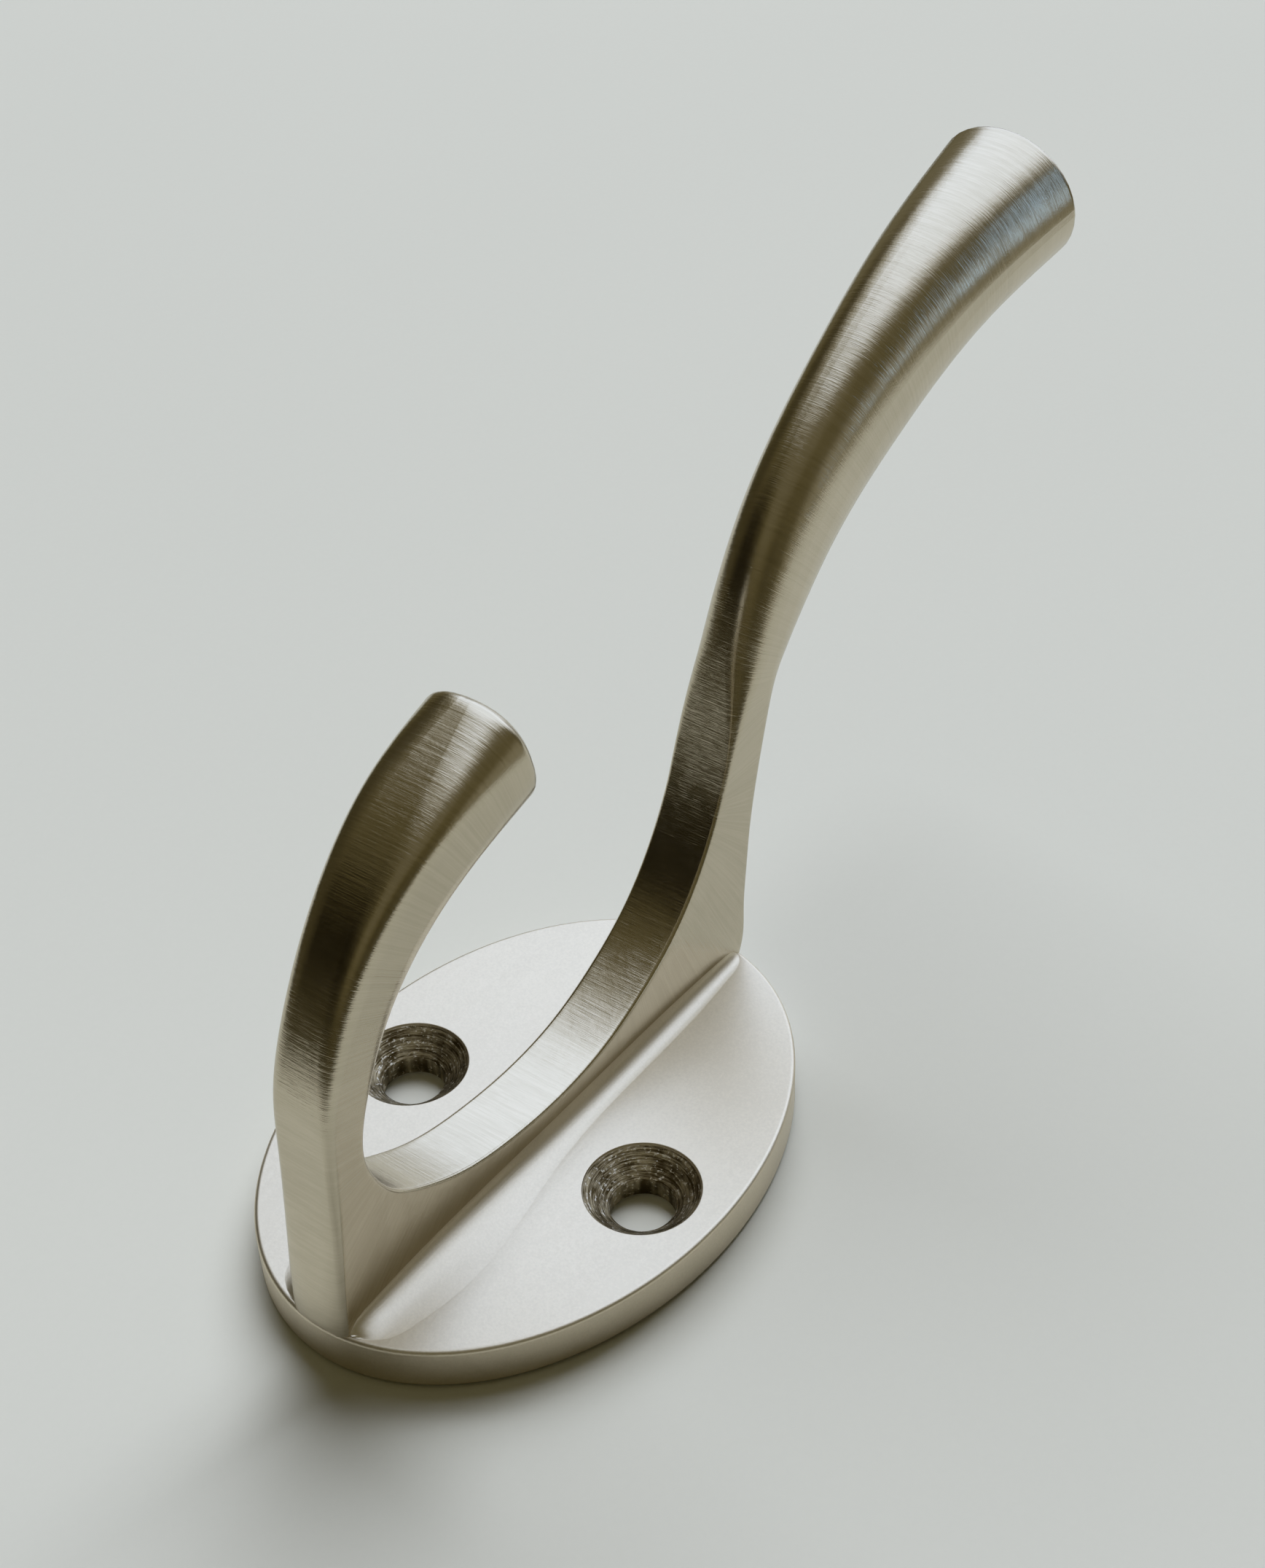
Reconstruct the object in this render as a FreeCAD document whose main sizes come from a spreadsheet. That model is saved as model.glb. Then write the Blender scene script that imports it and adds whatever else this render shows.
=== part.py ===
# Hat and coat hook: a long upper hat prong and a short lower coat prong on one
# upright web, standing on an oval backplate with two countersunk screw holes.
#
# Frame, in millimetres: +Z is up as mounted, -Y points out of the wall and X runs
# across. The origin is the middle of the backplate's back face, on the wall plane.
# "out" below is a distance from the wall, so Y = -out, and "up" is a height.
import FreeCAD
import Part
import Sketcher
import math
import os

Vector = FreeCAD.Vector

# Driving dimensions: name, value, what it is.
SIZES = [
    ("plate_height", 50.3, "oval backplate, long axis"),
    ("plate_width", 37.0, "oval backplate, short axis"),
    ("plate_thick", 3.75, "backplate thickness"),
    ("plate_edge", 0.35, "rounding of the backplate's front rim"),
    ("hole_inset", 6.9, "screw hole centres inside the plate's side ends"),
    ("hole_drop", 1.1, "screw holes below the middle of the plate"),
    ("hole_bore", 5.2, "screw hole diameter"),
    ("sink_mouth", 9.2, "countersink diameter at the plate's face"),
    ("sink_angle", 90.0, "countersink included angle"),
    ("web_width", 5.4, "web and prong roots, across"),
    ("front_round", 0.35, "rounding of the edges along the web's front"),
    ("end_round", 0.7, "rounding of the edges at the web's two ends"),
    ("foot_bead", 0.6, "fillet along the foot of the web"),
    ("top_overrun", 0.25, "web's upper end past the plate's end"),
    ("valley_out", 3.4, "lowest point of the web's front above the plate"),
    ("valley_up", 0.65, "height of that lowest point"),
    ("valley_sweep", 35.0, "radius of the web's front below that point"),
    ("hat_root", 17.1, "hat prong's root above the plate"),
    ("hat_inset", 0.3, "hat prong's root below the plate's upper end"),
    ("hat_lean", 72.0, "hat prong's direction at its root, from upright"),
    ("hat_tip_lean", 14.0, "hat prong's direction at its tip, from upright"),
    ("hat_dome", 1.2, "height of the hat prong's domed end"),
    ("coat_root", 14.8, "coat prong's root above the plate"),
    ("coat_inset", 3.0, "coat prong's root above the plate's lower end"),
    ("coat_lean", 88.0, "coat prong's direction at its root, from upright"),
    ("coat_tip_lean", 22.0, "coat prong's direction at its tip, from upright"),
    ("coat_dome", 1.0, "height of the coat prong's domed end"),
]

# Stations along each prong, from its root (1) to its tip (6): how far each lies
# above the root (rise) and further out than the root (reach), then the bar's
# thickness seen from the side, its width across and its edge rounding there.
STATION_WORDS = ("rise", "reach", "thick", "wide", "edge")
ROOT_THICK = {"hat": 4.9, "coat": 3.6}
STATIONS = {
    "hat": {
        2: (4.2, 10.3, 6.0, 5.5, 1.2),
        3: (11.3, 18.7, 9.4, 5.7, 2.4),
        4: (20.6, 25.5, 10.6, 7.1, 3.4),
        5: (31.6, 30.7, 11.4, 9.7, 4.7),
        6: (43.5, 33.8, 13.0, 12.8, 6.2),
    },
    "coat": {
        2: (1.2, 7.0, 4.6, 5.5, 1.2),
        3: (4.4, 13.1, 6.2, 5.8, 1.5),
        4: (8.7, 18.0, 7.0, 6.8, 1.9),
        5: (14.4, 21.7, 7.6, 8.2, 2.3),
        6: (20.4, 23.9, 9.4, 9.2, 3.9),
    },
}
ROOT = 1
TIP = 6

# Rings of a prong's domed end, as angles up a quarter ellipse from the tip.
DOME_ANGLES = (32, 56, 76)

# The largest edge rounding a bar can take, as a share of its full side.
ROUND_LIMIT = 0.48

# Which way each prong's root lies from the plate's middle.
UP_SIDE = {"hat": "1", "coat": "-1"}

# How near an edge passes to a point that picks it, in millimetres.
ON_EDGE = 1e-4

# The least that the screw holes must take from the plate, in cubic millimetres.
LEAST_CUT = 1.0

doc = FreeCAD.newDocument("hat_and_coat_hook")
sheet = doc.addObject("Spreadsheet::Sheet", "Sizes")


def fill_sheet():
    """Put every driving dimension in the sheet, one aliased cell each."""
    rows = list(SIZES)
    for prong, stations in STATIONS.items():
        rows.append((f"{prong}_thick_1", ROOT_THICK[prong], "thickness at the root"))
        for number, station in stations.items():
            for word, value in zip(STATION_WORDS, station):
                rows.append((f"{prong}_{word}_{number}", value, f"{word} at station {number}"))
    for row, (name, value, note) in enumerate(rows, 1):
        sheet.set(f"A{row}", name)
        sheet.set(f"B{row}", str(value))
        sheet.set(f"C{row}", note)
        sheet.setAlias(f"B{row}", name)
    doc.recompute()


def value(expression):
    """What an expression of the sheet comes to, as a plain number."""
    result = sheet.evalExpression(expression)
    return float(getattr(result, "Value", result))


def new_body(label):
    """A body with a label of its own."""
    body = doc.addObject("PartDesign::Body", label)
    body.Label = label
    return body


def new_sketch(body, name, plane):
    """A sketch lying on one of the body's origin planes."""
    sketch = body.newObject("Sketcher::SketchObject", name)
    support = next(item for item in body.Origin.OriginFeatures if item.Role == plane)
    sketch.AttachmentSupport = [(support, "")]
    sketch.MapMode = "FlatFace"
    return sketch


def drive(sketch, kind, where, name, expression):
    """Add a dimension to a sketch and bind it to an expression of the sheet."""
    index = sketch.addConstraint(Sketcher.Constraint(kind, *where, value(expression)))
    sketch.renameConstraint(index, name)
    sketch.setExpression(f"Constraints.{name}", expression)


def edges_through(shape, points):
    """Names of the edges of a shape that pass through the points."""
    names = []
    for point in points:
        spot = Part.Vertex(point)
        for number, edge in enumerate(shape.Edges, 1):
            if edge.distToShape(spot)[0] < ON_EDGE:
                names.append(f"Edge{number}")
    return sorted(set(names))


def round_edges(body, name, base, points, expression):
    """Round the edges of a feature that pass through the points."""
    fillet = body.newObject("PartDesign::Fillet", name)
    fillet.Base = (base, edges_through(base.Shape, points))
    fillet.setExpression("Radius", expression)
    doc.recompute()
    return fillet


# ------------------------------------------------------------------ backplate
def make_backplate():
    """The oval plate with a softened front rim and two countersunk holes."""
    body = new_body("backplate")
    half_height = value("Sizes.plate_height / 2")
    half_width = value("Sizes.plate_width / 2")
    outline = new_sketch(body, "plate_outline", "XZ_Plane")
    oval = Part.Ellipse(Vector(0, half_height, 0), Vector(half_width, 0, 0), Vector(0, 0, 0))
    outline.addGeometry(oval)
    # Adds the oval's long axis as geometry 1 and its short axis as geometry 2.
    outline.exposeInternalGeometry(0)
    outline.addConstraint(Sketcher.Constraint("Coincident", 0, 3, -1, 1))
    outline.addConstraint(Sketcher.Constraint("Vertical", 1))
    drive(outline, "Distance", (1,), "height", "Sizes.plate_height")
    drive(outline, "Distance", (2,), "width", "Sizes.plate_width")
    plate = body.newObject("PartDesign::Pad", "plate")
    plate.Profile = outline
    plate.setExpression("Length", "Sizes.plate_thick")
    doc.recompute()
    rim_point = Vector(half_width, -value("Sizes.plate_thick"), 0)
    rim = round_edges(body, "plate_rim", plate, [rim_point], "Sizes.plate_edge")

    holes = new_sketch(body, "hole_centres", "XZ_Plane")
    holes.setExpression("AttachmentOffset.Base.z", "Sizes.plate_thick")
    across = "Sizes.plate_width / 2 - Sizes.hole_inset"
    for number, side in enumerate((1, -1)):
        centre = Vector(side * value(across), -value("Sizes.hole_drop"), 0)
        holes.addGeometry(Part.Circle(centre, Vector(0, 0, 1), value("Sizes.hole_bore / 2")))
        drive(holes, "DistanceX", (-1, 1, number, 3), f"across_{number}",
              f"{side} * ({across})")
        drive(holes, "DistanceY", (number, 3, -1, 1), f"drop_{number}", "Sizes.hole_drop")
        drive(holes, "Diameter", (number,), f"bore_{number}", "Sizes.hole_bore")
    doc.recompute()
    drill = body.newObject("PartDesign::Hole", "screw_holes")
    drill.Profile = holes
    drill.DepthType = "ThroughAll"
    drill.setExpression("Diameter", "Sizes.hole_bore")
    drill.HoleCutType = "Countersink"
    drill.HoleCutCustomValues = True
    drill.setExpression("HoleCutDiameter", "Sizes.sink_mouth")
    drill.setExpression("HoleCutCountersinkAngle", "Sizes.sink_angle")
    doc.recompute()
    if drill.Shape.Volume > rim.Shape.Volume - LEAST_CUT:
        raise RuntimeError("the screw holes cut nothing")
    return body


# --------------------------------------------------------- stations of a prong
def station_place(prong, number):
    """Expressions for a station's distance out, height and lean from upright."""
    side = UP_SIDE[prong]
    out = f"Sizes.plate_thick + Sizes.{prong}_root"
    up = f"{side} * (Sizes.plate_height / 2 - Sizes.{prong}_inset)"
    if number == ROOT:
        return out, up, f"Sizes.{prong}_lean"
    out = f"{out} + Sizes.{prong}_reach_{number}"
    up = f"{up} + Sizes.{prong}_rise_{number}"
    if number == TIP:
        return out, up, f"Sizes.{prong}_tip_lean"
    run = f"Sizes.{prong}_rise_{number + 1}"
    climb = f"Sizes.{prong}_reach_{number + 1}"
    if number - 1 > ROOT:
        run = f"{run} - Sizes.{prong}_rise_{number - 1}"
        climb = f"{climb} - Sizes.{prong}_reach_{number - 1}"
    return out, up, f"atan2({climb}; {run})"


def station_section(prong, number):
    """Expressions for a station's width, thickness and its two edge roundings.

    The first rounding is on the side that faces away from the plate's upper end.
    """
    if number == ROOT:
        low, high = ("front_round", "end_round")
        if prong == "coat":
            low, high = (high, low)
        return "Sizes.web_width", f"Sizes.{prong}_thick_1", f"Sizes.{low}", f"Sizes.{high}"
    wide = f"Sizes.{prong}_wide_{number}"
    thick = f"Sizes.{prong}_thick_{number}"
    edge = f"min(Sizes.{prong}_edge_{number}; {ROUND_LIMIT} * {wide}; {ROUND_LIMIT} * {thick})"
    return wide, thick, edge, edge


def place_section(sketch, out, up, lean):
    """Stand a section across the prong: its own Y points along the lean's normal."""
    sketch.AttachmentOffset = FreeCAD.Placement(Vector(), FreeCAD.Rotation(Vector(1, 0, 0), 1))
    sketch.setExpression("AttachmentOffset.Base.y", f"-({out})")
    sketch.setExpression("AttachmentOffset.Base.z", up)
    sketch.setExpression("AttachmentOffset.Rotation.Angle", lean)


def draw_bar(sketch, wide, thick, low_edge, high_edge):
    """A rectangle about the sketch's origin with rounded corners.

    The corners are geometry 0 to 3. The sides are 4 right, 5 top, 6 left, 7 bottom.
    """
    half_wide = value(wide) / 2
    half_thick = value(thick) / 2
    radii = (value(low_edge), value(high_edge), value(high_edge), value(low_edge))
    corners = ((1, -1), (1, 1), (-1, 1), (-1, -1))
    starts = []
    ends = []
    for index, ((side_x, side_y), radius) in enumerate(zip(corners, radii)):
        centre = Vector(side_x * (half_wide - radius), side_y * (half_thick - radius), 0)
        first = (index - 1) * math.pi / 2
        arc = Part.ArcOfCircle(Part.Circle(centre, Vector(0, 0, 1), radius),
                               first, first + math.pi / 2)
        sketch.addGeometry(arc)
        starts.append(arc.StartPoint)
        ends.append(arc.EndPoint)
    for index in range(4):
        sketch.addGeometry(Part.LineSegment(ends[index], starts[(index + 1) % 4]))
    for index in range(4):
        line = 4 + index
        sketch.addConstraint(Sketcher.Constraint("Tangent", index, 2, line, 1))
        sketch.addConstraint(Sketcher.Constraint("Tangent", line, 2, (index + 1) % 4, 1))
        sketch.addConstraint(Sketcher.Constraint(("Vertical", "Horizontal")[index % 2], line))
    drive(sketch, "DistanceX", (-1, 1, 4, 1), "right", f"({wide}) / 2")
    drive(sketch, "DistanceX", (6, 1, -1, 1), "left", f"({wide}) / 2")
    drive(sketch, "DistanceY", (-1, 1, 5, 1), "top", f"({thick}) / 2")
    drive(sketch, "DistanceY", (7, 1, -1, 1), "bottom", f"({thick}) / 2")
    for index, edge in enumerate((low_edge, high_edge, high_edge, low_edge)):
        drive(sketch, "Radius", (index,), f"corner_{index}", edge)


# ------------------------------------------------------------------------ web
def root_corner(prong, side):
    """Expressions for a corner of a prong's root in the side view: out and up.

    Side 1 is the corner nearer the plate's upper end, -1 the other one.
    """
    out, up, lean = station_place(prong, ROOT)
    half = f"{side} * Sizes.{prong}_thick_1 / 2"
    return f"{out} - {half} * cos({lean})", f"{up} + {half} * sin({lean})"


def side_point(out, up):
    """A point of the side view, as a point of a sketch on the YZ plane."""
    return Vector(-out, up, 0)


def pin(sketch, spot, name, place):
    """Hold a point of the side view at its two expressions."""
    out, up = place
    drive(sketch, "DistanceX", (*spot, -1, 1), f"{name}_out", out)
    if value(up) < 0:
        drive(sketch, "DistanceY", (*spot, -1, 1), f"{name}_up", f"-({up})")
    else:
        drive(sketch, "DistanceY", (-1, 1, *spot), f"{name}_up", up)


def arc_middle(centre, start, end):
    """The middle of the short arc from start to end."""
    radius = centre.distanceToPoint(start)
    return centre + ((start + end) * 0.5 - centre).normalize() * radius


def web_corners():
    """The side view's corners in order, each with the expressions that place it.

    The corner where two arcs of the front curve join has none: tangency places it.
    """
    return {
        "low_foot": ("Sizes.plate_thick", "-Sizes.plate_height / 2"),
        "coat_outer": root_corner("coat", -1),
        "coat_inner": root_corner("coat", 1),
        "join": None,
        "valley": ("Sizes.plate_thick + Sizes.valley_out", "Sizes.valley_up"),
        "hat_front": root_corner("hat", -1),
        "hat_rear": root_corner("hat", 1),
        "high_foot": ("Sizes.plate_thick", "Sizes.plate_height / 2 + Sizes.top_overrun"),
    }


def web_centres(spots):
    """Centres of the side view's arcs, and the corner where the front arcs join.

    The front curve is a tight arc off the coat prong, a wide one to the lowest point
    and one from there to the hat prong. The upper end leaves the plate square.
    """
    sweep = value("Sizes.valley_sweep")
    sweep_centre = spots["valley"] - Vector(sweep, 0, 0)
    rise = spots["hat_front"] - spots["valley"]
    hat_centre = spots["valley"] + Vector(rise.dot(rise) / (2 * rise.x), 0, 0)
    lean = math.radians(value("Sizes.coat_lean"))
    inward = Vector(math.cos(lean), math.sin(lean), 0)
    gap = spots["coat_inner"] - sweep_centre
    coat_radius = (sweep ** 2 - gap.dot(gap)) / (2 * (sweep + gap.dot(inward)))
    coat_centre = spots["coat_inner"] + inward * coat_radius
    spots["join"] = sweep_centre + (coat_centre - sweep_centre).normalize() * sweep
    back = spots["hat_rear"] - spots["high_foot"]
    back_centre = spots["high_foot"] + Vector(0, back.dot(back) / (2 * back.y), 0)
    return {"coat_inner": coat_centre, "join": sweep_centre, "valley": hat_centre,
            "hat_rear": back_centre}


def draw_side_view(sketch):
    """Draw and dimension the web's side view; return the middle of each side."""
    corners = web_corners()
    spots = {name: side_point(value(place[0]), value(place[1]))
             for name, place in corners.items() if place}
    centres = web_centres(spots)
    names = list(corners)
    middles = {}
    for name, following in zip(names, names[1:] + names[:1]):
        start, end = spots[name], spots[following]
        if name in centres:
            middles[name] = arc_middle(centres[name], start, end)
            sketch.addGeometry(Part.Arc(start, middles[name], end))
        else:
            middles[name] = (start + end) * 0.5
            sketch.addGeometry(Part.LineSegment(start, end))
    side = {name: index for index, name in enumerate(names)}
    for name, index in side.items():
        smooth = name in ("join", "valley")
        kind = "Tangent" if smooth else "Coincident"
        before = (index - 1) % len(names)
        sketch.addConstraint(Sketcher.Constraint(kind, before, 2, index, 1))
        if corners[name]:
            pin(sketch, (index, 1), name, corners[name])
    drive(sketch, "Radius", (side["join"],), "sweep", "Sizes.valley_sweep")
    sketch.addConstraint(Sketcher.Constraint("Horizontal", side["join"], 3, side["join"], 2))
    sketch.addConstraint(
        Sketcher.Constraint("Vertical", side["hat_rear"], 3, side["high_foot"], 1))
    spoke = Part.LineSegment(spots["coat_inner"], centres["coat_inner"])
    spoke_index = sketch.addGeometry(spoke, True)
    tight = side["coat_inner"]
    sketch.addConstraint(Sketcher.Constraint("Coincident", spoke_index, 1, tight, 1))
    sketch.addConstraint(Sketcher.Constraint("Coincident", spoke_index, 2, tight, 3))
    drive_angle(sketch, spoke_index, "coat_spoke", "Sizes.coat_lean")
    return middles


def drive_angle(sketch, line, name, expression):
    """Bind a line's angle to an expression in degrees."""
    angle = math.radians(value(expression))
    index = sketch.addConstraint(Sketcher.Constraint("Angle", line, angle))
    sketch.renameConstraint(index, name)
    sketch.setExpression(f"Constraints.{name}", f"{expression} * 1 deg")


def draw_bead(sketch):
    """The foot's cross-section: the web's width, widened by a hollow fillet each side.

    Geometry 0 lies on the plate, 1 and 3 are the right and left fillets, 2 is the top.
    """
    half = value("Sizes.web_width / 2")
    bead = value("Sizes.foot_bead")
    face = value("Sizes.plate_thick")
    toe = Vector(half + bead, -face, 0)
    crest = Vector(half, -face - bead, 0)
    centre = Vector(toe.x, crest.y, 0)
    mirrored = [Vector(-point.x, point.y, 0) for point in (toe, crest, centre)]
    far_toe, far_crest, far_centre = mirrored
    sketch.addGeometry(Part.LineSegment(far_toe, toe))
    sketch.addGeometry(Part.Arc(toe, arc_middle(centre, toe, crest), crest))
    sketch.addGeometry(Part.LineSegment(crest, far_crest))
    sketch.addGeometry(Part.Arc(far_crest, arc_middle(far_centre, far_crest, far_toe), far_toe))
    for index in range(4):
        following = (index + 1) % 4
        sketch.addConstraint(Sketcher.Constraint("Coincident", index, 2, following, 1))
    sketch.addConstraint(Sketcher.Constraint("Horizontal", 2))
    sketch.addConstraint(Sketcher.Constraint("Vertical", 1, 3, 1, 1))
    sketch.addConstraint(Sketcher.Constraint("Horizontal", 1, 3, 1, 2))
    sketch.addConstraint(Sketcher.Constraint("Vertical", 3, 3, 3, 2))
    sketch.addConstraint(Sketcher.Constraint("Horizontal", 3, 3, 3, 1))
    drive(sketch, "Radius", (1,), "bead_right", "Sizes.foot_bead")
    drive(sketch, "Radius", (3,), "bead_left", "Sizes.foot_bead")
    drive(sketch, "DistanceY", (1, 1, -1, 1), "face", "Sizes.plate_thick")
    drive(sketch, "DistanceX", (-1, 1, 1, 2), "right", "Sizes.web_width / 2")
    drive(sketch, "DistanceX", (3, 1, -1, 1), "left", "Sizes.web_width / 2")


def make_web():
    """The upright web: a flat bar with a hollow front and a filleted foot."""
    body = new_body("web")
    side_view = new_sketch(body, "side_view", "YZ_Plane")
    middles = draw_side_view(side_view)
    bar = body.newObject("PartDesign::Pad", "bar")
    bar.Profile = side_view
    bar.SideType = "Symmetric"
    bar.setExpression("Length", "Sizes.web_width")
    doc.recompute()
    half = value("Sizes.web_width / 2")

    def edge_points(names):
        """Middles of both long edges of the named sides."""
        return [Vector(side * half, middles[name].x, middles[name].y)
                for name in names for side in (1, -1)]

    front = round_edges(body, "front_edges", bar,
                        edge_points(("coat_inner", "join", "valley")), "Sizes.front_round")
    round_edges(body, "end_edges", front,
                edge_points(("low_foot", "hat_rear")), "Sizes.end_round")
    cross_section = new_sketch(body, "foot_section", "XY_Plane")
    draw_bead(cross_section)
    bead = body.newObject("PartDesign::Pad", "foot")
    bead.Profile = cross_section
    bead.SideType = "Symmetric"
    bead.setExpression("Length", "Sizes.plate_height - 2 * Sizes.end_round")
    doc.recompute()
    return body


# --------------------------------------------------------------------- prongs
def add_loft(body, name, sections):
    """A smooth solid through a row of sections."""
    loft = body.newObject("PartDesign::AdditiveLoft", name)
    loft.Profile = sections[0]
    loft.Sections = sections[1:]
    loft.Ruled = False
    doc.recompute()
    return loft


def make_prong(prong):
    """A curved prong that swells from the web's flat bar to a domed round end."""
    body = new_body(f"{prong}_prong")
    sections = []
    for number in range(ROOT, TIP + 1):
        sketch = new_sketch(body, f"{prong}_station_{number}", "XY_Plane")
        place_section(sketch, *station_place(prong, number))
        draw_bar(sketch, *station_section(prong, number))
        sections.append(sketch)
    doc.recompute()
    bar = add_loft(body, f"{prong}_bar", sections)

    out, up, lean = station_place(prong, TIP)
    dome_rings = [sections[-1]]
    for angle in DOME_ANGLES:
        rise = f"Sizes.{prong}_dome * sin({angle})"
        share = f"cos({angle})"
        sketch = new_sketch(body, f"{prong}_dome_{angle}", "XY_Plane")
        place_section(sketch, f"{out} + {rise} * sin({lean})", f"{up} + {rise} * cos({lean})",
                      lean)
        scaled = [f"{share} * ({text})" for text in station_section(prong, TIP)]
        draw_bar(sketch, *scaled)
        dome_rings.append(sketch)
    doc.recompute()
    dome = add_loft(body, f"{prong}_dome", dome_rings)
    if dome.Shape.Volume <= bar.Shape.Volume:
        raise RuntimeError(f"the {prong} prong's domed end adds nothing")
    return body


# --------------------------------------------------------------------- output
def check_document(bodies):
    """Stop if any object failed or any sub-part isn't one sound solid."""
    for item in doc.Objects:
        if "Invalid" in item.State or "Error" in item.State:
            raise RuntimeError(f"{item.Label} failed: {item.State}")
    for body in bodies:
        shape = body.Shape
        if shape.isNull() or not shape.isValid() or len(shape.Solids) != 1:
            raise RuntimeError(f"{body.Label} isn't one valid solid")


fill_sheet()
bodies = [make_backplate(), make_web(), make_prong("hat"), make_prong("coat")]
doc.recompute()
check_document(bodies)
os.makedirs("parts", exist_ok=True)
for body in bodies:
    body.Shape.exportStep(f"parts/{body.Label}.step")
    box = body.Shape.BoundBox
    print(f"{body.Label}: {body.Shape.Volume:.1f} mm3, X {box.XMin:.2f} {box.XMax:.2f}, "
          f"Y {box.YMin:.2f} {box.YMax:.2f}, Z {box.ZMin:.2f} {box.ZMax:.2f}")
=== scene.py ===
"""A satin nickel hat and coat hook: the looks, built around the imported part.

Sizes below are millimetres. "out" is a distance from the wall, "up" is a height
and X runs across the hook, so a point is at (x, -out, up).
"""

import math

import bmesh
import bpy
import numpy as np
from mathutils import Matrix, Vector


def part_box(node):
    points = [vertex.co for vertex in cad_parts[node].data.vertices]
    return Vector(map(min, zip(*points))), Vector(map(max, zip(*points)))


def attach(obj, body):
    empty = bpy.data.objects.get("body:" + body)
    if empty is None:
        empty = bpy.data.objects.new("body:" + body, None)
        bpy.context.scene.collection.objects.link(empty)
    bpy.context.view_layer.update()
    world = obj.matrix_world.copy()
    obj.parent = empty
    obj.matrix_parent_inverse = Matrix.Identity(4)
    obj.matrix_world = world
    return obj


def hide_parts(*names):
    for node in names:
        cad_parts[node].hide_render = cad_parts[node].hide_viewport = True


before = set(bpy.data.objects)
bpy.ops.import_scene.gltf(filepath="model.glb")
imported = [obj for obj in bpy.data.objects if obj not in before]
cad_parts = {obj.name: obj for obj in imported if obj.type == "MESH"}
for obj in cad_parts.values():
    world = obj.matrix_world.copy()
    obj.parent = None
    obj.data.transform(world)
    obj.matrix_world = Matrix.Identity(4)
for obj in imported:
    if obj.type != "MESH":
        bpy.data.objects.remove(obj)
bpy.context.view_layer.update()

MM = 0.001

# ------------------------------------------------------------------ the sizes
# The plate: half its width, half its height, its thickness and the round of its rim.
plate_low, plate_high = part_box("backplate")
PLATE_WIDE = plate_high.x / MM
PLATE_TALL = plate_high.z / MM
PLATE_THICK = -plate_low.y / MM
PLATE_EDGE = 0.35

# Its screw holes: how far to each side of the middle and below it, and the radii of
# the bore and of the countersink's mouth.
HOLE_ACROSS = 11.6
HOLE_DROP = 1.1
BORE = 2.6
SINK = 4.6

# The arm: half the web's width, the rounds of its front and rear edges, and how far
# the end of each prong is domed.
WEB_HALF = 2.7
FRONT_ROUND = 0.35
REAR_ROUND = 0.7
HAT_DOME = 1.2
COAT_DOME = 1.65

# Stations of each prong from its root to its tip: out and up of the middle of the
# bar, its lean from upright, its half thickness, half width and squareness. The
# squareness is the power of a superellipse: 2 is round and 9 nearly a rectangle.
HAT_STATIONS = [
    (20.74, 25.17, 72.0, 2.80, 2.70, 7.0),
    (30.98, 29.11, 58.9, 3.22, 2.88, 2.9),
    (39.58, 35.65, 42.8, 5.26, 3.12, 2.4),
    (46.38, 45.08, 30.6, 5.87, 3.72, 2.4),
    (51.71, 56.27, 19.9, 6.02, 4.95, 2.2),
    (54.65, 68.35, 14.0, 6.50, 6.40, 2.02),
]
COAT_STATIONS = [
    (18.55, -22.15, 88.0, 1.80, 2.70, 8.0),
    (25.55, -20.95, 71.4, 2.30, 2.75, 5.6),
    (31.65, -17.75, 55.7, 3.10, 2.90, 4.8),
    (36.55, -13.45, 40.7, 3.50, 3.40, 4.6),
    (40.25, -7.75, 26.8, 3.80, 4.10, 4.0),
    (42.15, -2.10, 14.0, 4.75, 4.55, 2.4),
]

# The web's front edge between the two roots, as out and up.
WEB_FRONT = [
    (16.4, -19.75), (13.4, -17.95), (11.2, -15.1), (9.0, -10.8), (7.65, -5.4),
    (7.15, 0.4), (7.75, 6.1), (9.8, 11.5), (13.0, 16.4), (17.0, 19.9),
]
# Its lower end, down the end face and into the plate's rim.
WEB_LOW_END = [(11.2, -24.50), (6.5, -24.88), (4.0, -25.00), (2.9, -25.00)]
# Its upper end, out of the plate's rim and along the rear edge.
WEB_HIGH_END = [(2.9, 25.15), (4.0, 25.62), (7.7, 25.95), (11.8, 26.38), (15.8, 26.95)]
# Its foot between the two ends, sunk in the plate: how far out it lies, and the
# heights of its ends.
FOOT_OUT = 2.9
FOOT_ENDS = (-24.6, 24.85)
# How far the middle of each end face stands proud of its edges.
END_CROWN = 0.24

# The hollow fillet along the web's foot, low end to high end: how far along, how
# wide on the plate and how high up the web.
FOOT_ROUND = [
    (0.00, 2.8, 1.2), (0.12, 4.2, 1.7), (0.45, 2.4, 1.8), (0.85, 1.7, 1.5), (1.00, 1.1, 1.0),
]
# Its rings at either end: how far along, and how much of its full size it has there.
FOOT_ENDING = ((0.0, 0.35), (0.004, 0.60), (0.010, 0.80), (0.018, 0.93))
# How far it is let into the web and into the plate, how much further into the web it
# goes as it shrinks, how far its edges run on inside the metal, and where its hidden
# corner lies, as across and out.
FOOT_IN_WEB = 0.012
FOOT_IN_PLATE = 0.008
FOOT_TAPER = 0.3
FOOT_HIDE = 0.3
FOOT_CORE = (1.2, 2.6)


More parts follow.
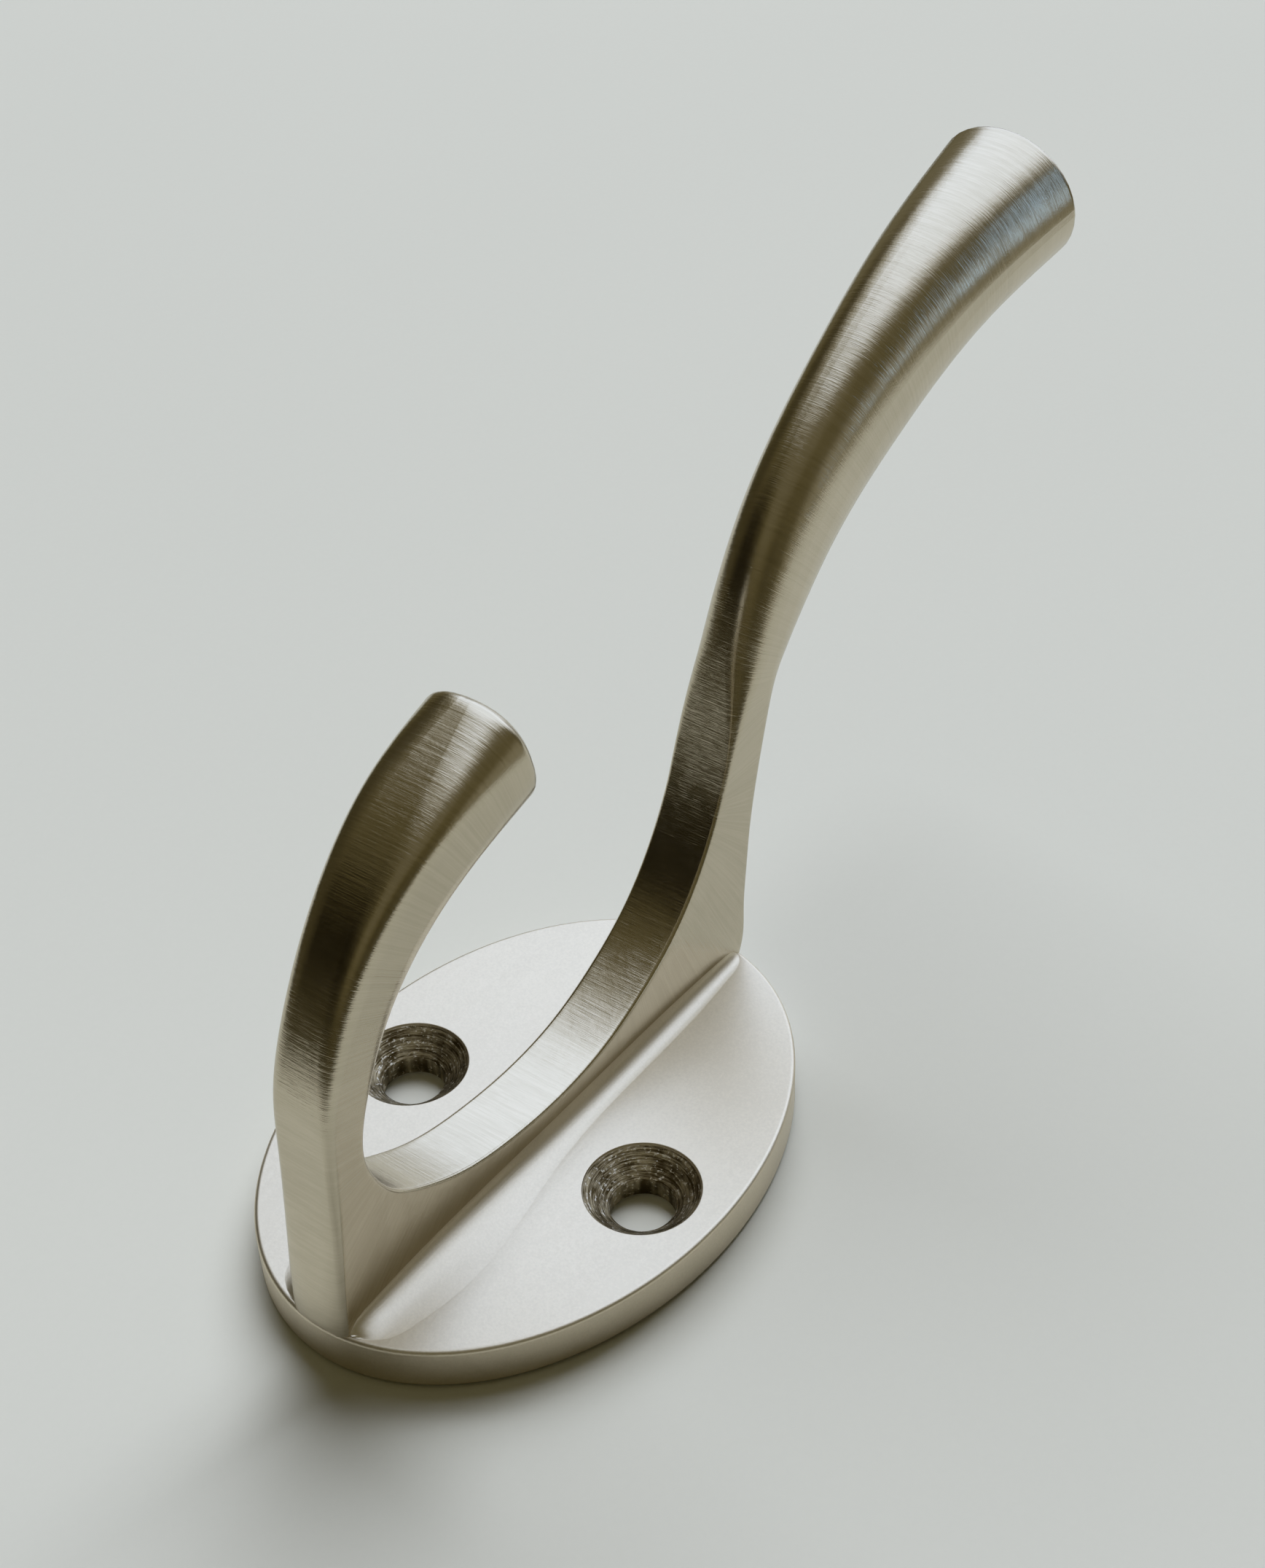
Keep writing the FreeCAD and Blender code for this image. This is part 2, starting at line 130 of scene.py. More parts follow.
# ------------------------------------------------------------- smooth passages
def smooth_line(stops, knots):
    """A natural cubic through the knots, one at each stop, as a function."""
    stops = np.array(stops, float)
    knots = np.array(knots, float).reshape(len(stops), -1)
    gaps = np.diff(stops)
    slopes = np.diff(knots, axis=0) / gaps[:, None]
    system = np.eye(len(stops))
    pull = np.zeros_like(knots)
    for i in range(1, len(stops) - 1):
        system[i, i - 1:i + 2] = gaps[i - 1], 2 * (gaps[i - 1] + gaps[i]), gaps[i]
        pull[i] = 6 * (slopes[i] - slopes[i - 1])
    bend = np.linalg.solve(system, pull)

    def at(stop):
        i = int(np.clip(np.searchsorted(stops, stop) - 1, 0, len(gaps) - 1))
        gap = gaps[i]
        before = stops[i + 1] - stop
        after = stop - stops[i]
        return ((bend[i] * before ** 3 + bend[i + 1] * after ** 3) / (6 * gap)
                + (knots[i] / gap - bend[i] * gap / 6) * before
                + (knots[i + 1] / gap - bend[i + 1] * gap / 6) * after)

    return at


def chord_stops(knots):
    """Distances along a row of knots."""
    steps = np.linalg.norm(np.diff(np.array(knots, float), axis=0), axis=1)
    return np.concatenate(([0.0], np.cumsum(steps)))


def ease(low, high, value):
    """0 below low, 1 above high and a smooth passage between."""
    share = min(max((value - low) / (high - low), 0.0), 1.0)
    return share * share * (3 - 2 * share)


def mixed(first, second, share):
    """A point on the way from the first to the second."""
    return first * (1 - share) + second * share


def faces_of(station, towards_plate_top):
    """The two side-view points of a station: its side towards the plate's upper
    end and its other side, as out and up."""
    out, up, lean, half = station[:4]
    lean = math.radians(lean)
    across = np.array((-math.cos(lean), math.sin(lean))) * half
    middle = np.array((out, up))
    return middle + across if towards_plate_top else middle - across


# ------------------------------------------------------------ one cross-section
# Each quarter of a section has ARC_STEPS steps, and points lie at FLAT_SHARES of the
# way from one quarter to the next. A quarter's first point faces FIRST_NORMAL degrees
# off straight across.
ARC_STEPS = 9
FLAT_SHARES = (0.06, 0.28, 0.5, 0.72, 0.94)
FIRST_NORMAL = 3.0
# How steeply an end face's crown dies away from its edges towards the front, and the
# quarter after which a section's rear face comes.
CROWN_POWER = 8
REAR_FACE = 2


def corner_points(wide, half, power, radius, soft):
    """A quarter of a section from its flank to its front, by the way each point
    faces: a rounded rectangle that passes into a superellipse as soft rises."""
    points = []
    q = power / (power - 1)
    for angle in np.radians(np.linspace(FIRST_NORMAL, 90 - FIRST_NORMAL, ARC_STEPS + 1)):
        along, over = wide * math.cos(angle), half * math.sin(angle)
        reach = (along ** q + over ** q) ** (1 / q)
        oval = np.array((wide * (along / reach) ** (q - 1), half * (over / reach) ** (q - 1)))
        bar = np.array((wide - radius + radius * math.cos(angle),
                        half - radius + radius * math.sin(angle)))
        points.append(oval * soft + bar * (1 - soft))
    return points


def section(wide, half, power, soft, crown):
    """A closed section of the arm: across, and towards the front. The crown draws
    its rear corners in and leaves the middle of its rear face where it is."""
    front = corner_points(wide, half, power, FRONT_ROUND, soft)
    rear = []
    for across, over in corner_points(wide, half, power, REAR_ROUND, soft):
        drawn_in = crown * (across / wide) ** 2 * (over / half) ** CROWN_POWER
        rear.append(np.array((across, over - drawn_in)))
    corners = [
        front,
        [p * (-1, 1) for p in reversed(front)],
        [p * (-1, -1) for p in rear],
        [p * (1, -1) for p in reversed(rear)],
    ]
    points = []
    for number, corner in enumerate(corners):
        following = corners[(number + 1) % len(corners)]
        points += corner
        for share in FLAT_SHARES:
            point = mixed(corner[-1], following[0], share)
            if number == REAR_FACE:
                point = point - (0, crown * (1 - (point[0] / wide) ** 2))
            points.append(point)
    return points


# --------------------------------------------------------------- mesh building
def spots_of(points, front, rear):
    """Stand a section up in space, between its front and rear points."""
    middle = (front + rear) / 2
    way = (front - rear) / np.linalg.norm(front - rear)
    spots = []
    for across, over in points:
        out, up = middle + way * over
        spots.append(Vector((across, -out, up)))
    return spots


def start_ring(bm, spots):
    """A first ring of vertices at the spots."""
    ring = bmesh.ops.create_circle(bm, cap_ends=False, segments=len(spots), radius=1)["verts"]
    for vert, spot in zip(ring, spots):
        vert.co = spot
    return ring


def ring_edges(bm, ring):
    """The edges round a ring."""
    return [bm.edges.get((a, b)) for a, b in zip(ring, ring[1:] + ring[:1])]


def next_ring(bm, ring, spots):
    """Extrude a ring and set the new one at the spots."""
    grown = bmesh.ops.extrude_edge_only(bm, edges=ring_edges(bm, ring))["geom"]
    fresh = {item for item in grown if isinstance(item, bmesh.types.BMVert)}
    following = []
    for vert, spot in zip(ring, spots):
        mate = next(e.other_vert(vert) for e in vert.link_edges if e.other_vert(vert) in fresh)
        mate.co = spot
        following.append(mate)
    return following


def mesh_of(bm, name):
    """A mesh in metres from a bmesh in millimetres, which is freed."""
    bmesh.ops.scale(bm, vec=(MM, MM, MM), verts=bm.verts)
    mesh = bpy.data.meshes.new(name)
    bm.to_mesh(mesh)
    bm.free()
    return mesh


def add_object(name, data):
    """A new object in the scene."""
    made = bpy.data.objects.new(name, data)
    bpy.context.scene.collection.objects.link(made)
    return made


def new_piece(name, mesh, node, *materials):
    """A finished piece that stands for a CAD node."""
    piece = add_object(name, mesh)
    for material in materials:
        mesh.materials.append(material)
    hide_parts(node)
    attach(piece, "root")
    return piece


# --------------------------------------------------------------------- the arm
# Stops are distances along the arm's front edge from the coat prong's tip. The rear
# edge leaves an end face for the foot LOW_TURN past the coat prong's root and
# HIGH_TURN before the hat prong's, and settles on the foot within TURN_STEP.
LOW_TURN = 8.0
HIGH_TURN = 7.0
TURN_STEP = 0.8
# An end face's crown fades out this far from its turn.
CROWN_FADE = 8.0
# Rings lie RING_STEP apart, or FINE_STEP along the end faces and FINE_PAST beyond
# them, and never closer than RING_GAP except at the corners of the edges.
RING_STEP = 0.5
FINE_STEP = 0.2
FINE_PAST = 1.5
RING_GAP = 0.08
# A prong goes from a rounded rectangle at its root to a superellipse over these
# distances, and its squareness stays within these limits.
SOFT_FROM, SOFT_TO = 1.0, 13.0
ROUNDEST, SQUAREST = 2.0, 9.0


def rear_edge(coat, stops, low_turn, high_turn):
    """The arm's rear edge as a function of the stop: the coat prong's far side, the
    web's lower end, its foot, its upper end and the hat prong's far side."""
    coat_root, hat_root = stops[len(coat) - 1], stops[-len(HAT_STATIONS)]
    low = [faces_of(s, False) for s in coat] + [np.array(p) for p in WEB_LOW_END]
    low_share = chord_stops(low[len(coat) - 1:])
    low_stops = list(stops[:len(coat)])
    low_stops += list(coat_root + low_share[1:] / low_share[-1] * (low_turn - coat_root))
    low_line = smooth_line(low_stops, low)

    high = [np.array(p) for p in WEB_HIGH_END] + [faces_of(s, True) for s in HAT_STATIONS]
    high_share = chord_stops(high[:len(WEB_HIGH_END) + 1])
    high_stops = list(high_turn + high_share / high_share[-1] * (hat_root - high_turn))
    high_stops += list(stops[-len(HAT_STATIONS) + 1:])
    high_line = smooth_line(high_stops, high)

    foot_from, foot_to = low_turn + TURN_STEP, high_turn - TURN_STEP
    foot_low, foot_high = (np.array((FOOT_OUT, up)) for up in FOOT_ENDS)

    def at(stop):
        if stop <= low_turn:
            return low_line(stop)
        if stop >= high_turn:
            return high_line(stop)
        if stop < foot_from:
            share = (stop - low_turn) / (foot_from - low_turn)
            return mixed(np.array(WEB_LOW_END[-1]), foot_low, share)
        if stop > foot_to:
            share = (stop - foot_to) / (high_turn - foot_to)
            return mixed(foot_high, np.array(WEB_HIGH_END[0]), share)
        return mixed(foot_low, foot_high, (stop - foot_from) / (foot_to - foot_from))

    return at


def ring_stops(coat_root, low_turn, high_turn, hat_root, tip):
    """The stop of every ring, with one at each corner of the two edges."""
    corners = {coat_root, low_turn, low_turn + TURN_STEP,
               high_turn - TURN_STEP, high_turn, hat_root, tip}
    marks = set(corners)
    for start, end, step in ((0, tip, RING_STEP),
                             (coat_root, low_turn + FINE_PAST, FINE_STEP),
                             (high_turn - FINE_PAST, hat_root, FINE_STEP)):
        marks |= set(np.round(np.arange(start, end, step), 3))
    marks = sorted(marks)
    kept = [marks[0]]
    for mark in marks[1:]:
        if mark in corners:
            if mark - kept[-1] < RING_GAP and kept[-1] not in corners:
                kept.pop()
            kept.append(mark)
        elif mark - kept[-1] >= RING_GAP:
            kept.append(mark)
    return kept


def arm_rings():
    """Every ring of the arm from the coat prong's tip to the hat prong's tip, as its
    stop and its spots, and the stops of the two roots."""
    coat = list(reversed(COAT_STATIONS))
    front = [faces_of(s, True) for s in coat] + [np.array(p) for p in WEB_FRONT]
    front += [faces_of(s, False) for s in HAT_STATIONS]
    stops = chord_stops(front)
    coat_root, hat_root = stops[len(coat) - 1], stops[-len(HAT_STATIONS)]
    low_turn, high_turn = coat_root + LOW_TURN, hat_root - HIGH_TURN
    front_line = smooth_line(stops, front)
    rear_line = rear_edge(coat, stops, low_turn, high_turn)

    prongs = coat + HAT_STATIONS
    prong_stops = list(stops[:len(coat)]) + list(stops[-len(HAT_STATIONS):])
    wide_line = smooth_line(prong_stops, [s[4] for s in prongs])
    power_line = smooth_line(prong_stops, [1 / s[5] for s in prongs])

    rings = []
    for stop in ring_stops(coat_root, low_turn, high_turn, hat_root, stops[-1]):
        in_web = coat_root <= stop <= hat_root
        wide = WEB_HALF if in_web else float(wide_line(stop)[0])
        power = min(max(1 / float(power_line(stop)[0]), ROUNDEST), SQUAREST)
        soft = ease(SOFT_FROM, SOFT_TO, max(coat_root - stop, stop - hat_root, 0.0))
        crown = 0.0
        if in_web:
            on_foot = min(ease(low_turn, low_turn + TURN_STEP, stop),
                          1 - ease(high_turn - TURN_STEP, high_turn, stop))
            past_turn = min(abs(stop - low_turn), abs(stop - high_turn))
            crown = max(END_CROWN * (1 - on_foot) * (1 - past_turn / CROWN_FADE), 0.0)
        front_point, rear_point = front_line(stop), rear_line(stop)
        half = float(np.linalg.norm(front_point - rear_point)) / 2
        points = section(wide, half, power, soft, crown)
        rings.append((stop, spots_of(points, front_point, rear_point)))
    return rings, coat_root, hat_root


# The rings of a dome, in degrees up from its edge, and how far apart the brushing
# takes them to be.
DOME_STEPS = (8, 18, 30, 42, 54, 65, 75, 83, 87.5)
DOME_LAY = 0.3


def dome_rows(spots, dome, outward):
    """Shrinking copies of a prong's last section that close it with a low dome."""
    middle = sum(spots, Vector()) / len(spots)
    rows = []
    for angle in DOME_STEPS:
        share = math.cos(math.radians(angle))
        lift = outward * (dome * math.sin(math.radians(angle)))
        rows.append([middle + (spot - middle) * share + lift for spot in spots])
    return rows


def lean_way(lean):
    """The way a prong's end faces, from its lean in degrees."""
    lean = math.radians(lean)
    return Vector((0, -math.sin(lean), math.cos(lean)))


def make_arm():
    """The whole arm as one smooth skin, and the numbers of the rings at the coat
    prong's root, the hat prong's root and the hat prong's end. Each vertex keeps
    its ring's number and, for the brushing, its place in its ring and its stop."""
    rings, coat_root, hat_root = arm_rings()
    bm = bmesh.new()
    ring_layer = bm.verts.layers.int.new("ring")
    lay_layer = bm.verts.layers.float_vector.new("lay")

    (coat_tip, coat_spots), (hat_tip, hat_spots) = rings[0], rings[-1]
    coat_dome = dome_rows(coat_spots, COAT_DOME, lean_way(COAT_STATIONS[-1][2]))
    hat_dome = dome_rows(hat_spots, HAT_DOME, lean_way(HAT_STATIONS[-1][2]))
    before = [(coat_tip - DOME_LAY * (i + 1), spots) for i, spots in enumerate(coat_dome)]
    after = [(hat_tip + DOME_LAY * (i + 1), spots) for i, spots in enumerate(hat_dome)]
    rings = before[::-1] + rings + after

    ring = None
    for number, (stop, spots) in enumerate(rings):
        ring = start_ring(bm, spots) if ring is None else next_ring(bm, ring, spots)
        if number == 0:
            bmesh.ops.contextual_create(bm, geom=ring)
        middle = sum(spots, Vector()) / len(spots)
        for vert in ring:
            vert[ring_layer] = number
            vert[lay_layer] = Vector(((vert.co - middle).x, (vert.co - middle).length, stop))
    bmesh.ops.contextual_create(bm, geom=ring)
    bmesh.ops.recalc_face_normals(bm, faces=bm.faces)
    bmesh.ops.scale(bm, vec=(MM, MM, MM), verts=bm.verts)
    bm.normal_update()
    stops = [stop for stop, _ in rings]
    return bm, stops.index(coat_root), stops.index(hat_root), len(rings) - 1


def cut_arm(skin, first, last, name, node, material):
    """One stretch of the arm as a closed piece that keeps the whole arm's shading."""
    bm = skin.copy()
    ring_layer = bm.verts.layers.int["ring"]
    facing = bm.verts.layers.float_vector.new("facing")
    bm.normal_update()
    for vert in bm.verts:
        vert[facing] = vert.normal
    outside = [v for v in bm.verts if not first <= v[ring_layer] <= last]
    bmesh.ops.delete(bm, geom=outside, context="VERTS")
    open_edges = [e for e in bm.edges if e.is_boundary]
    bmesh.ops.holes_fill(bm, edges=open_edges, sides=0)
    bmesh.ops.recalc_face_normals(bm, faces=bm.faces)
    for face in bm.faces:
        face.smooth = True
    mesh = bpy.data.meshes.new(name)
    bm.to_mesh(mesh)
    bm.free()
    normals = [tuple(item.vector) for item in mesh.attributes["facing"].data]
    cut_rings = {first, last}
    rings = [item.value for item in mesh.attributes["ring"].data]
    loops = []
    for poly in mesh.polygons:
        # the flat lids at the cuts are the faces with more than four corners
        lid = len(poly.vertices) > 4 and rings[poly.vertices[0]] in cut_rings
        for index in poly.loop_indices:
            vert = mesh.loops[index].vertex_index
            loops.append(tuple(poly.normal) if lid else normals[vert])
    mesh.normals_split_custom_set(loops)
    mesh.attributes.remove(mesh.attributes["facing"])
    mesh.attributes.remove(mesh.attributes["ring"])
    return new_piece(name, mesh, node, material)


# ------------------------------------------------------------------ the fillet
# Steps round the hollow, rings along the fillet, and how many rings short of either
# end the full-size ones stop.
FOOT_STEPS = 20
FOOT_RINGS = 90
FOOT_SPARE = 3


def foot_spots(side, share, grow, wide, high):
    """One section of the hollow fillet beside the web's foot. Every section
    follows the plate's oval, and grow shrinks the ones at its ends. Both edges
    run on inside the metal, so that the shading meets the web and the plate."""
    along = (PLATE_TALL - PLATE_EDGE) * (2 * share - 1)
    flank = WEB_HALF - FOOT_IN_WEB - FOOT_TAPER * (1 - grow)
    face = PLATE_THICK - FOOT_IN_PLATE
    core, core_out = FOOT_CORE

    def spot(across, out):
        bow = math.sqrt(1 - (across / PLATE_WIDE) ** 2)
        return Vector((side * across, -out, along * bow))

    spots = [spot(core, core_out), spot(core, face + high + FOOT_HIDE),
             spot(flank, face + high + FOOT_HIDE)]
    for step in range(FOOT_STEPS + 1):
        angle = math.pi / 2 * step / FOOT_STEPS
        spots.append(spot(flank + wide * (1 - math.cos(angle)),
                          face + high * (1 - math.sin(angle))))
    spots.append(spot(flank + wide + FOOT_HIDE, face))
    spots.append(spot(flank + wide + FOOT_HIDE, core_out))
    return spots


def make_foot(side, name, material):
    """The soft fillet that runs along one side of the web's foot."""
    size_at = smooth_line([row[0] for row in FOOT_ROUND], [row[1:] for row in FOOT_ROUND])
    marks = list(FOOT_ENDING)
    marks += [(step / FOOT_RINGS, 1.0)
              for step in range(FOOT_SPARE, FOOT_RINGS - FOOT_SPARE + 1)]
    marks += [(1 - share, grow) for share, grow in reversed(FOOT_ENDING)]
    bm = bmesh.new()
    ring = None
    for share, grow in marks:
        spots = foot_spots(side, share, grow, *size_at(share) * grow)
        if ring is None:
            ring = start_ring(bm, spots)
            bmesh.ops.contextual_create(bm, geom=ring)
        else:
            ring = next_ring(bm, ring, spots)
    bmesh.ops.contextual_create(bm, geom=ring)
    bmesh.ops.recalc_face_normals(bm, faces=bm.faces)
    for face in bm.faces:
        face.smooth = len(face.verts) == 4
    return new_piece(name, mesh_of(bm, name), "web", material)


# -------------------------------------------------------------------- the plate
# Points round the plate's outline and round a screw hole.
PLATE_SIDES = 240
HOLE_SIDES = 120


def oval_spots(inset, out):
    """A ring inside the plate's outline by the inset."""
    spots = []
    for step in range(PLATE_SIDES):
        turn = 2 * math.pi * step / PLATE_SIDES
        x, z = PLATE_WIDE * math.cos(turn), PLATE_TALL * math.sin(turn)
        facing = Vector((x / PLATE_WIDE ** 2, 0, z / PLATE_TALL ** 2)).normalized()
        spots.append(Vector((x, -out, z)) - facing * inset)
    return spots


def hole_spots(side, radius, out):
    """A ring round one screw hole."""
    spots = []
    for step in range(HOLE_SIDES):
        turn = 2 * math.pi * step / HOLE_SIDES
        spots.append(Vector((side * HOLE_ACROSS + radius * math.cos(turn), -out,
                             radius * math.sin(turn) - HOLE_DROP)))
    return spots


def rounding(radius, steps):
    """A quarter round as pairs: distance in from the side, distance below the top."""
    pairs = []
    for step in range(steps + 1):
        angle = math.pi / 2 * step / steps
        pairs.append((radius * (1 - math.cos(angle)), radius * (1 - math.sin(angle))))
    return pairs


# The countersink: the round of its lip and the steps in it, the tool's rings down its
# cone and how deep they are cut. The cone slopes at about 45 degrees, so that SLOPE of
# a cut's depth goes outwards and as much downwards.
SINK_LIP = 0.10
LIP_STEPS = 4
GROOVES = 13
GROOVE_DEEP = 0.022
SLOPE = 0.7
# The bore's rings, by how much wider than the bore they are: the first two by how far
# out they lie from the cone's foot, and the last two from the wall.
BORE_TURN = ((-0.01, -0.05), (0.0, -0.12))
BORE_END = ((0.0, 0.15), (0.12, 0.0))
# A flat border keeps the fill of a face off its rounded edge.
LIP_BORDER = 0.04
RIM_BORDER = 0.05


def sink_profile():
    """Down one hole: radius, out and whether the ring lies on the raw cone or bore."""
    profile = [(SINK + SINK_LIP + LIP_BORDER, PLATE_THICK, False)]
    for inward, below in reversed(rounding(SINK_LIP, LIP_STEPS)):
        profile.append((SINK + inward, PLATE_THICK - below, False))
    depth = SINK - BORE
    for step in range(1, 2 * GROOVES + 1):
        share = step / (2 * GROOVES)
        dig = GROOVE_DEEP * (step % 2) * SLOPE
        profile.append((SINK - depth * share + dig,
                        PLATE_THICK - SINK_LIP - (depth - SINK_LIP) * share - dig, True))
    for wider, out in BORE_TURN:
        profile.append((BORE + wider, PLATE_THICK - depth + out, True))
    for wider, out in BORE_END:
        profile.append((BORE + wider, out, True))
    return profile


# The rim from the back face up to the side: how far in from the outline, and out.
BACK_RIM = ((0.25, 0.0), (0.10, 0.04), (0.03, 0.12), (0.0, 0.25))
RIM_STEPS = 7
# A face that looks this squarely along Y is one of the plate's flat ones, not a hole's.
FLAT_FACE = 0.99


def make_plate(face_material, raw_material):
    """The oval plate: soft rim, flat faces and two countersunk screw holes."""
    rim = list(BACK_RIM) + [(0.0, PLATE_THICK - PLATE_EDGE - RIM_BORDER)]
    rim += [(inward, PLATE_THICK - below) for inward, below in rounding(PLATE_EDGE, RIM_STEPS)]
    rim.append((PLATE_EDGE + RIM_BORDER, PLATE_THICK))
    bm = bmesh.new()
    ring = start_ring(bm, oval_spots(*rim[0]))
    back_loop = ring
    for inset, out in rim[1:]:
        ring = next_ring(bm, ring, oval_spots(inset, out))

    front_edges = ring_edges(bm, ring)
    back_edges = ring_edges(bm, back_loop)
    raw_verts = set()
    for side in (-1, 1):
        profile = sink_profile()
        ring = start_ring(bm, hole_spots(side, *profile[0][:2]))
        front_edges += ring_edges(bm, ring)
        for radius, out, raw in profile[1:]:
            ring = next_ring(bm, ring, hole_spots(side, radius, out))
            if raw:
                raw_verts |= set(ring)
        back_edges += ring_edges(bm, ring)
    bmesh.ops.triangle_fill(bm, edges=front_edges, use_beauty=True)
    bmesh.ops.triangle_fill(bm, edges=back_edges, use_beauty=True)
    bmesh.ops.recalc_face_normals(bm, faces=bm.faces)
    for face in bm.faces:
        face.smooth = True
        flat = abs(face.normal.y) >= FLAT_FACE
        if not flat and all(vert in raw_verts for vert in face.verts):
            face.material_index = 1
    mesh = mesh_of(bm, "oval_plate")
    return new_piece("oval_plate", mesh, "backplate", face_material, raw_material)


# --------------------------------------------------------------------- finishes
class Field:
    """A value that changes over a surface. Arithmetic on it adds Math nodes."""

    def __init__(self, paint, socket):
        self.paint = paint
        self.socket = socket

    def __add__(self, other):
        return self.paint.math("ADD", self, other)

    __radd__ = __add__

    def __sub__(self, other):
        return self.paint.math("SUBTRACT", self, other)

    def __rsub__(self, other):
        return self.paint.math("SUBTRACT", other, self)

    def __mul__(self, other):
        return self.paint.math("MULTIPLY", self, other)

    __rmul__ = __mul__


class Nodes:
    """A node tree and the ways it is built."""

    def __init__(self, tree):
        self.tree = tree

    def node(self, kind, settings=None, sockets=None, output=0):
        """Add a node, set it up, fill its sockets and return one output, by its name
        or its number."""
        made = self.tree.nodes.new(kind)
        for name, value in (settings or {}).items():
            if name == "stops":
                stops = made.color_ramp.elements
                while len(stops) < len(value):
                    stops.new(0.5)
                for stop, (place, colour) in zip(stops, value):
                    stop.position = place
                    stop.color = (*colour, 1)
            else:
                setattr(made, name, value)
        for name, value in (sockets or {}).items():
            if isinstance(value, Field):
                self.tree.links.new(value.socket, made.inputs[name])
            else:
                made.inputs[name].default_value = value
        return Field(self, made.outputs[output])

    def ramp(self, value, stops):
        """A colour that follows a value through stops of place and colour."""
        return self.node("ShaderNodeValToRGB", {"stops": stops}, {0: value})

    def part(self, vector, axis):
        """One part of a vector: X, Y or Z."""
        return self.node("ShaderNodeSeparateXYZ", None, {0: vector}, output=axis)

    def bump(self, height, deep):
        """Relief on the surface, as deep as this many metres."""
        return self.node("ShaderNodeBump", None,
                         {"Strength": 1.0, "Distance": deep, "Height": height})

    def noise(self, vector, scale, detail=3.0, rough=0.55):
        """Noise over a vector, about 0.5."""
        return self.node("ShaderNodeTexNoise", None,
                         {"Vector": vector, "Scale": scale, "Detail": detail, "Roughness": rough})

    def stretch(self, vector, scale, turn=(0, 0, 0)):
        """A vector turned, and scaled along each axis."""
        return self.node("ShaderNodeMapping", None,
                         {"Vector": vector, "Scale": scale, "Rotation": turn})

    def blend(self, share, first, second):
        """A colour between two colours."""
        first, second = (colour if isinstance(colour, Field) else (*colour, 1)
                         for colour in (first, second))
        return self.node("ShaderNodeMix", {"data_type": "RGBA"},
                         {0: share, 6: first, 7: second}, output=2)

    def math(self, operation, first, second=0.0):
        """A Math node."""
        return self.node("ShaderNodeMath", {"operation": operation}, {0: first, 1: second})

    def smooth(self, value, low, high):
        """0 below low, 1 above high and a soft passage between."""
        return self.node("ShaderNodeMapRange", {"interpolation_type": "SMOOTHSTEP"},
                         {0: value, 1: low, 2: high})

    def close(self, kind, surface):
        """The tree's output."""
        made = self.tree.nodes.new(kind)
        self.tree.links.new(surface.socket, made.inputs["Surface"])


class Paint(Nodes):
    """One material."""

    def __init__(self, name):
        self.material = bpy.data.materials.new(name)
        self.material.use_nodes = True
        self.material.node_tree.nodes.clear()
        super().__init__(self.material.node_tree)

    def place(self):
        """The place on the piece, in metres."""
        return self.node("ShaderNodeTexCoord", output="Object")

    def finish(self, **sockets):
        """The surface itself."""
        values = {name.replace("_", " "): value for name, value in sockets.items()}
        self.close("ShaderNodeOutputMaterial",
                   self.node("ShaderNodeBsdfPrincipled", None, values))
        return self.material


# Colours of the finishes.
NICKEL = (0.595, 0.532, 0.405)
NICKEL_DULL = (0.52, 0.463, 0.345)
# The plate's two colours are the arm's nickel painted lighter: painted light for the brighter
# light that the flat plate catches.
PLATE_NICKEL_PAINTED_LIGHTER = (0.715, 0.643, 0.503)
PLATE_DULL_PAINTED_LIGHTER = (0.655, 0.587, 0.457)
STAIN_DARK = (0.080, 0.055, 0.020)
STAIN_PALE = (0.54, 0.46, 0.30)
BARE_METAL = (0.92, 0.87, 0.76)
BOARD_DARK = (0.78, 0.81, 0.80)
BOARD_PALE = (0.84, 0.87, 0.86)

# Depths of relief in metres: the arm's brushing, the plate's, and the tool's marks.
ARM_RELIEF = 0.000034
PLATE_RELIEF = 0.000014
SINK_RELIEF = 0.00006
# The finest grain of the nickel, in cells to the metre.
GRAIN = 5200.0


def satin_arm():
    """Nickel brushed across the bar: fine lines round it, in runs of their own."""
    paint = Paint("satin_nickel_arm")
    lay = paint.node("ShaderNodeAttribute", {"attribute_name": "lay"}, output="Vector")
    place = paint.place()
    fine = paint.noise(paint.stretch(lay, (0.35, 0.35, 9.0)), 1.0, 3.0, 0.65)
    coarse = paint.noise(paint.stretch(lay, (0.22, 0.22, 3.6)), 1.0, 3.0, 0.65)
    patches = paint.noise(paint.stretch(lay, (0.5, 0.5, 0.4)), 1.0, 2.0)
    runs = paint.smooth(patches, 0.35, 0.65)
    grain = paint.noise(place, GRAIN, 2.0, 0.6)
    mottle = paint.noise(place, 90.0)
    lines = fine * 0.5 + coarse * 0.5
    relief = paint.bump(lines * (runs * 0.5 + 0.6) + grain * 0.16, ARM_RELIEF)
    tone = paint.smooth(lines * 0.7 + mottle * 0.3, 0.38, 0.62)
    colour = paint.blend(tone, NICKEL_DULL, NICKEL)
    roughness = mottle * 0.05 + lines * 0.10 + 0.14
    return paint.finish(Base_Color=colour, Metallic=1.0, Roughness=roughness, Normal=relief)


